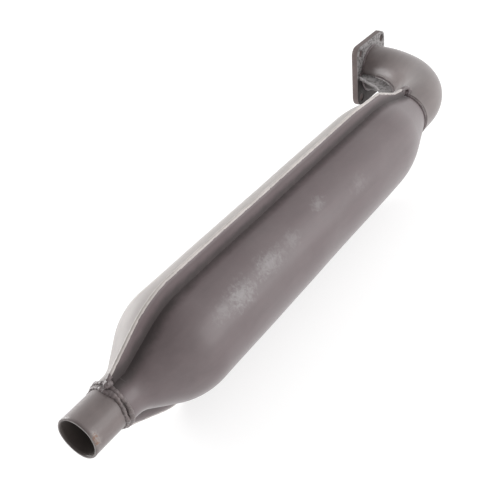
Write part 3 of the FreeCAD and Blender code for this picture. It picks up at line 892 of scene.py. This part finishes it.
def engine_flange():
    """The plate that bolts to the engine."""
    bm = bmesh.new()
    back = Matrix.Translation(Vector((FLANGE_X, FLANGE_BACK_Y, 0)))
    lie_on_back = back @ Matrix.Rotation(math.pi / 2, 4, "X")
    bmesh.ops.create_grid(bm, x_segments=1, y_segments=1, size=FLANGE_SIDE / 2, matrix=lie_on_back)
    bottom = [vert for vert in bm.verts if vert.co.z < 0]
    bmesh.ops.translate(bm, verts=bottom, vec=(0, 0, FLANGE_TOP - FLANGE_BOTTOM))
    for up, radius in ((1, FLANGE_TOP_CORNER_R), (-1, FLANGE_BOTTOM_CORNER_R)):
        corners = [vert for vert in bm.verts if vert.co.z * up > FLANGE_TOP - TINY]
        bmesh.ops.bevel(bm, geom=corners, offset=radius, offset_type="OFFSET", segments=10,
                        profile=0.5, affect="VERTICES", material=-1)
    bmesh.ops.delete(bm, geom=bm.faces[:], context="FACES_ONLY")
    bmesh.ops.create_circle(bm, cap_ends=False, radius=HEADER_R, segments=72, matrix=lie_on_back)
    for x in (-BOLT_SPACING / 2, BOLT_SPACING / 2):
        for z in (-BOLT_SPACING / 2, BOLT_SPACING / 2):
            corner = Matrix.Translation(Vector((x, 0, z))) @ lie_on_back
            bmesh.ops.create_circle(bm, cap_ends=False, radius=BOLT_HOLE_R, segments=28,
                                    matrix=corner)
    bmesh.ops.triangle_fill(bm, edges=bm.edges[:], use_beauty=True)
    thicken_face(bm, bm.faces[:], (0, FLANGE_THICK, 0))
    round_rims(bm, RIM_ROUND)
    finish_piece("engine_flange_plate", bm, ["engine_flange"], FLANGE_PAINT)


engine_flange()

# %% [markdown]
# ## Brace
# A flat plate between the flange, the inside of the bend and the chamber's cone.  Its
# outline is drawn flat, filled, extruded and bevelled, and its hidden edges run a little
# way into the tube and the cone, where the fillet welds cover them.

# %% Make the brace
BRACE_THICK = 0.004
BRACE_FREE_R = 0.042
BRACE_FOOT = Vector((0.468, 0.031, 0))
BRACE_INTO = 0.0006
BRACE_SETBACK = 0.0015
BRACE_START = math.radians(25)
BRACE_END = math.radians(66)


def bend_point(radius, angle):
    """A point about the bend's centre; 0 is where the bend starts."""
    return BEND_CENTRE + Vector((math.sin(angle), -math.cos(angle), 0)) * radius


def arc_points(radius, first, last, steps):
    """Points on an arc about the bend's centre."""
    return [bend_point(radius, first + (last - first) * step / steps) for step in range(steps + 1)]


def brace_gusset():
    """The plate inside the bend."""
    bm = bmesh.new()
    inner_r = BEND_R - HEADER_R + BRACE_INTO
    flange_edge = FLANGE_X - FLANGE_SIDE / 2 + BRACE_SETBACK
    cone_foot = Vector((BRACE_FOOT.x, 0.0303, 0))
    neck = Vector((HEADER_X - 0.001, HEADER_R - BRACE_INTO, 0))
    outline = [BRACE_FOOT, cone_foot, neck, Vector((BEND_X, HEADER_R - BRACE_INTO, 0))]
    outline += arc_points(inner_r, math.radians(4), math.pi / 2, 24)
    outline += [Vector((FLANGE_X - HEADER_R + BRACE_INTO, FLANGE_BACK_Y, 0)),
                Vector((flange_edge, FLANGE_BACK_Y, 0))]
    outline += arc_points(BRACE_FREE_R, BRACE_END, BRACE_START, 16)
    verts = [bm.verts.new(point - Vector((0, 0, BRACE_THICK / 2))) for point in outline]
    bm.faces.new(verts)
    thicken_face(bm, bm.faces[:], (0, 0, BRACE_THICK))
    round_rims(bm, RIM_ROUND)
    finish_piece("brace_gusset_plate", bm, ["brace_gusset"], FLANGE_PAINT)


brace_gusset()

# %% [markdown]
# ## Weld beads
# A bead is a row of overlapping puddles.  A small circle is extruded from point to point
# along the joint and turned with it, and each ring is swollen or pinched a little: a
# regular ripple for the puddles, and noise for the welder's hand.

# %% Bead helper
WANDER_SIZE = 0.006
SPATTER = 0.12
SPATTER_SIZE = 0.0015


def run_bead(bm, path, radius, ripple=0.002, swell=0.12, wander=0.25, sides=8, closed=False):
    """A round bead along a path of points."""
    ends = path[1:] + ([path[1]] if closed else [2 * path[-1] - path[-2]])
    headings = [(after - before).normalized() for before, after in zip(path, ends)]
    face_path = headings[0].to_track_quat("Z", "Y").to_matrix().to_4x4()
    made = bmesh.ops.create_circle(bm, cap_ends=not closed, radius=radius, segments=sides,
                                   matrix=Matrix.Translation(path[0]) @ face_path)
    rings = [made["verts"]]
    row = edges_of(made["verts"])
    for here, there, old, new in zip(path, path[1:], headings, headings[1:]):
        verts, row = extrude_row(bm, row)
        bmesh.ops.translate(bm, verts=verts, vec=there - here)
        bmesh.ops.rotate(bm, verts=verts, cent=there, matrix=old.rotation_difference(new).to_matrix())
        rings.append(verts)
    if not closed:
        bmesh.ops.contextual_create(bm, geom=row)
    travelled = 0
    for before, centre, verts in zip(path[:1] + path, path, rings):
        travelled += (centre - before).length
        puddle = abs(math.sin(math.pi * travelled / ripple))
        size = 1 + swell * (puddle - 0.5) + wander * noise.noise(centre / WANDER_SIZE)
        for vert in verts:
            rough = SPATTER * noise.noise(vert.co / SPATTER_SIZE)
            vert.co = centre + (vert.co - centre) * (size + rough)


def finish_bead(name, bm, node, paint):
    """Beads are rough, so only their sharpest creases stay sharp."""
    finish_piece(name, bm, [node], paint, sharp=70)


def ring_path(x, radius, steps):
    """Points of a circle about the chamber's axis, closed."""
    return [Matrix.Rotation(2 * math.pi * step / steps, 3, "X") @ above_axis(x, radius)
            for step in range(steps + 1)]


# %% [markdown]
# ### Beads on the chamber
# Thin beads close the fin's outer edge.  A rough one, laid by hand in short runs, holds
# the outlet stub, and a low one fills the step at the header's lapped edge.

# %% Lay the chamber's beads
BEAD = 0.0013
ROUGH_BEAD = 0.0016
STRAY = 0.0022
STRAY_SIZE = 0.010


def seam_bead(name, up):
    """The bead along one fin's outer edge."""
    bm = bmesh.new()
    outline = outline_points(UPPER_FIN if up > 0 else LOWER_FIN, FIN_BLENDS, 0.0014)
    path = [above_axis(point.x, up * point.z) for point in outline]
    run_bead(bm, path, BEAD, ripple=0.004, swell=0.04, wander=0.10, sides=10)
    uneven(bm)
    lean_seam(bm)
    finish_bead(name, bm, name.removesuffix("_bead"), SEAM_WELD_PAINT)


def outlet_bead():
    """The hand-laid bead round the outlet stub: two passes that cross each other."""
    bm = bmesh.new()
    passes = ((REAR_END_X - 0.0022, STUB_R + 0.0002, 0.0), (REAR_END_X + 0.0012, REAR_NECK_R, 0.3))
    for x, radius, phase in passes:
        path = [point + AXIS * STRAY * noise.noise(point / STRAY_SIZE + Vector((phase, 0, 0)))
                for point in ring_path(x, radius, 180)]
        run_bead(bm, path, ROUGH_BEAD, ripple=0.0034, swell=0.18, wander=0.7, sides=12, closed=True)
    finish_bead("outlet_weld_bead", bm, "outlet_weld", WELD_PAINT)


def neck_bead():
    """The low bead at the header's lapped edge."""
    bm = bmesh.new()
    path = ring_path(HEADER_X - 0.0008, FRONT_NECK_R + 0.0002, 200)
    run_bead(bm, path, ROUGH_BEAD, ripple=0.003, swell=0.15, wander=0.35, sides=10, closed=True)
    finish_bead("neck_weld_bead", bm, "neck_weld", WELD_PAINT)


seam_bead("seam_weld_top_bead", 1)
seam_bead("seam_weld_bottom_bead", -1)
outlet_bead()
neck_bead()

# %% [markdown]
# ### Lumps at the seam's ends
# Where a fin stops, the welder filled the corner with a few blobs, and at the front ran the
# bead on over the header's edge.  A sphere pushed about by noise is close enough to a blob,
# and a short bead down the fin's shoulder makes the ridge.  All of them are one piece.

# %% Fill the seam's ends
BLOBS = [
    # place along the chamber, height above its axis, stretch
    (0.0325, 0.0195, (0.9, 0.8, 0.7, 1)),
    (0.0345, 0.0228, (0.6, 0.42, 0.9, 1)),
    (0.0360, -0.0205, (0.7, 0.5, 0.8, 1)),
    (0.4905, 0.0283, (1.0, 1.0, 0.6, 1)),
    (0.4975, 0.0262, (0.8, 0.7, 0.5, 1)),
    (0.4905, -0.0283, (1.0, 1.0, 0.6, 1)),
]
BLOB_R = 0.004
RIDGE = [(0.478, 0.0352), (0.4845, 0.0350), (0.489, 0.0338), (0.494, 0.0308), (0.498, 0.0278),
         (0.501, 0.0250)]
RIDGE_R = 0.0021


def seam_end_lumps():
    """A lump of weld at both ends of both fins."""
    bm = bmesh.new()
    for x, height, stretch in BLOBS:
        spot = Matrix.Translation(above_axis(x, height)) @ Matrix.Diagonal(stretch)
        bmesh.ops.create_icosphere(bm, subdivisions=4, radius=BLOB_R, matrix=spot)
    for vert in bm.verts:
        vert.co += noise.noise_vector(vert.co / 0.0045) * 0.0016
        vert.co += noise.noise_vector(vert.co / 0.0014) * 0.0004
    for up in (1, -1):
        corners = [above_axis(x, up * height) for x, height in RIDGE]
        path = [before.lerp(after, step / 4)
                for before, after in zip(corners, corners[1:]) for step in range(4)]
        run_bead(bm, path + corners[-1:], RIDGE_R, swell=0.1, wander=0.4, sides=12)
    lean_seam(bm)
    finish_bead("seam_end_lumps", bm, "seam_end_welds", WELD_PAINT)


seam_end_lumps()

# %% [markdown]
# ### Beads on the header, the flange and the brace
# Fillets fill the inside corners: round the header on the flange's back, and along both
# faces of the brace.

# %% Lay the header's beads
FILLET = 0.0020
FLANGE_FILLET = 0.0013


def flange_bead():
    """The fillet round the header on the flange's back."""
    bm = bmesh.new()
    middle = Vector((FLANGE_X, FLANGE_BACK_Y - 0.0002, 0))
    arm = Vector((HEADER_R + 0.0002, 0, 0))
    path = [middle + Matrix.Rotation(2 * math.pi * step / 200, 3, "Y") @ arm for step in range(201)]
    run_bead(bm, path, FLANGE_FILLET, ripple=0.003, swell=0.18, wander=0.3, sides=10, closed=True)
    finish_bead("flange_weld_bead", bm, "flange_weld", DARK_WELD_PAINT)


def brace_beads(name, node, path):
    """The same fillet on both faces of the brace."""
    bm = bmesh.new()
    for face in (-1, 1):
        lift = Vector((0, 0, face * BRACE_THICK / 2))
        run_bead(bm, [point + lift for point in path], FILLET, swell=0.2, wander=0.3)
    finish_bead(name, bm, node, DARK_WELD_PAINT)


def straight_path(start, end, steps):
    """Evenly spaced points from start to end."""
    return [start.lerp(end, step / steps) for step in range(steps + 1)]


flange_bead()
along_header = arc_points(BEND_R - HEADER_R, math.radians(3), math.radians(74), 90)
brace_beads("brace_header_beads", "brace_header_weld", along_header)
cone_path = straight_path(Vector((0.467, 0.0305, 0)), Vector((0.486, 0.0253, 0)), 24)
brace_beads("brace_cone_beads", "brace_cone_weld", cone_path)
flange_path = straight_path(Vector((FLANGE_X - 0.032, FLANGE_BACK_Y, 0)),
                            Vector((FLANGE_X - HEADER_R, FLANGE_BACK_Y, 0)), 12)
brace_beads("brace_flange_beads", "brace_flange_weld", flange_path)

# %% [markdown]
# ## Inside
# The cones, the core tube and the packing keep their CAD shape.  They get steel and wool
# finishes, so that the exhaust still looks right when it is taken apart.

# %% Finishes for the inner pieces
def plain_steel(name, colour, tint, roughness, metallic):
    """Sooty or heat-tinted bare steel."""
    material, tree, surface, where = start_finish(name)
    steel = mottled(tree, where, colour, tint, 0.3, roughness)
    join_paint(tree, surface, steel["Colour"], steel["Roughness"], steel["Height"])
    surface.inputs["Metallic"].default_value = metallic
    return material


def wool(name, colour, tint, stretch):
    """Fibres: a noise stretched along them, in colour and in height."""
    material, tree, surface, where = start_finish(name)
    drawn = place(tree, "ShaderNodeMapping", {"Vector": where, "Scale": stretch}).outputs[0]
    fibres = cloudy(tree, drawn, 1.0, 5.0, 0.7, 0.8)
    tree.links.new(blend_colours(tree, ramp(tree, fibres, 0.3, 0.7), colour, tint),
                   surface.inputs["Base Color"])
    surface.inputs["Roughness"].default_value = 0.9
    bump_surface(tree, surface, fibres, 0.0008)
    return material


LINER_STEEL = plain_steel("liner_steel", (0.20, 0.17, 0.15, 1), (0.12, 0.09, 0.07, 1), 0.55, 0.6)
CORE_STEEL = plain_steel("core_steel", (0.28, 0.22, 0.17, 1), (0.16, 0.12, 0.13, 1), 0.45, 0.8)
STEEL_WOOL = wool("steel_wool", (0.18, 0.17, 0.16, 1), (0.45, 0.43, 0.40, 1),
                  (120.0, 900.0, 900.0))
MINERAL_WOOL = wool("mineral_wool", (0.40, 0.36, 0.24, 1), (0.62, 0.58, 0.44, 1),
                    (500.0, 250.0, 250.0))

INNER_FINISHES = {"core_tube": CORE_STEEL, "wool_wrap": STEEL_WOOL, "packing": MINERAL_WOOL}
for liner in ("inlet_cone", "cone_support_ring", "baffle_cone", "rear_disc"):
    INNER_FINISHES[liner] = LINER_STEEL
for node_name, finish in INNER_FINISHES.items():
    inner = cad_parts[node_name]
    inner.data.materials.clear()
    inner.data.materials.append(finish)
print("inner pieces:", len(INNER_FINISHES))

# %% [markdown]
# ## Floor and light
# A plain pale floor and very soft light.  The floor glows a little, so that it stays white
# under the exhaust, which plain light could only do by bleaching the paint.  The main light
# is a wide panel beyond the engine's side.  The fin keeps it off the near shell, which is
# lit by the floor and by a weaker panel on its own side.

# %% Floor
FLOOR_SIZE = 3.0
FLOOR_GAP = 0.0002
FLOOR_GREY = (0.44, 0.44, 0.44, 1)
FLOOR_GLOW = 0.70


def pale_floor():
    """A wide flat sheet just under the exhaust."""
    material, _, surface, _ = start_finish("pale_floor")
    surface.inputs["Base Color"].default_value = FLOOR_GREY
    surface.inputs["Roughness"].default_value = 0.9
    surface.inputs["Emission Color"].default_value = (1, 1, 1, 1)
    surface.inputs["Emission Strength"].default_value = FLOOR_GLOW
    bm = bmesh.new()
    level = Matrix.Translation(Vector((aim.x, aim.y, cad_low.z - FLOOR_GAP)))
    bmesh.ops.create_grid(bm, x_segments=1, y_segments=1, size=FLOOR_SIZE, matrix=level)
    floor = make_object("floor", bm, material)


pale_floor()

# %% Lights
def soft_panel(name, direction, distance, size, power):
    """A square light that faces the middle of the exhaust."""
    lamp = bpy.data.lights.new(name, "AREA")
    lamp.shape = "SQUARE"
    lamp.size = size
    lamp.energy = power
    panel = bpy.data.objects.new(name, lamp)
    away = Vector(direction).normalized()
    turn = away.to_track_quat("Z", "Y").to_matrix().to_4x4()
    panel.matrix_world = Matrix.Translation(aim + away * distance) @ turn
    bpy.context.scene.collection.objects.link(panel)


PANEL_AWAY = 1.6
PANEL_SIZE = 1.2
soft_panel("main_panel", (-0.12, 0.98, 0.06), PANEL_AWAY, PANEL_SIZE, 34)
soft_panel("near_panel", (0.45, -0.85, 0.25), PANEL_AWAY, PANEL_SIZE, 12)

# %% [markdown]
# The rest of the light comes from all round, as inside a white tent.  The tent is open
# on the camera's side, so light falls off towards it: the surround's strength follows the
# angle between a direction and the tent's opening.  The camera itself sees plain white.

# %% White surround
TENT_OPENING = Vector((-0.75, -0.10, 0.65)).normalized()
TENT_WALL = 1.2
TENT_GAP = 0.45


def white_surround():
    """A world that is bright all round and dim at the tent's opening."""
    world = bpy.data.worlds.new("studio")
    world.use_nodes = True
    bpy.context.scene.world = world
    tree = world.node_tree
    direction = place(tree, "ShaderNodeTexCoord").outputs["Generated"]
    toward = place(tree, "ShaderNodeVectorMath", {0: direction, 1: tuple(TENT_OPENING)},
                   operation="DOT_PRODUCT").outputs["Value"]
    wall = place(tree, "ShaderNodeMapRange", {"Value": toward, "From Min": -0.2, "From Max": 0.9,
                                              "To Min": TENT_WALL, "To Max": TENT_GAP},
                 interpolation_type="SMOOTHSTEP").outputs["Result"]
    seen = place(tree, "ShaderNodeLightPath").outputs["Is Camera Ray"]
    strength = place(tree, "ShaderNodeMix", {"Factor": seen, 2: wall, 3: 1.0}).outputs[0]
    tree.links.new(strength, tree.nodes["Background"].inputs["Strength"])
    tree.nodes["Background"].inputs["Color"].default_value = (1, 1, 1, 1)


white_surround()
bpy.context.scene.view_settings.view_transform = "Standard"
print("lights:", [light.name for light in bpy.data.lights])
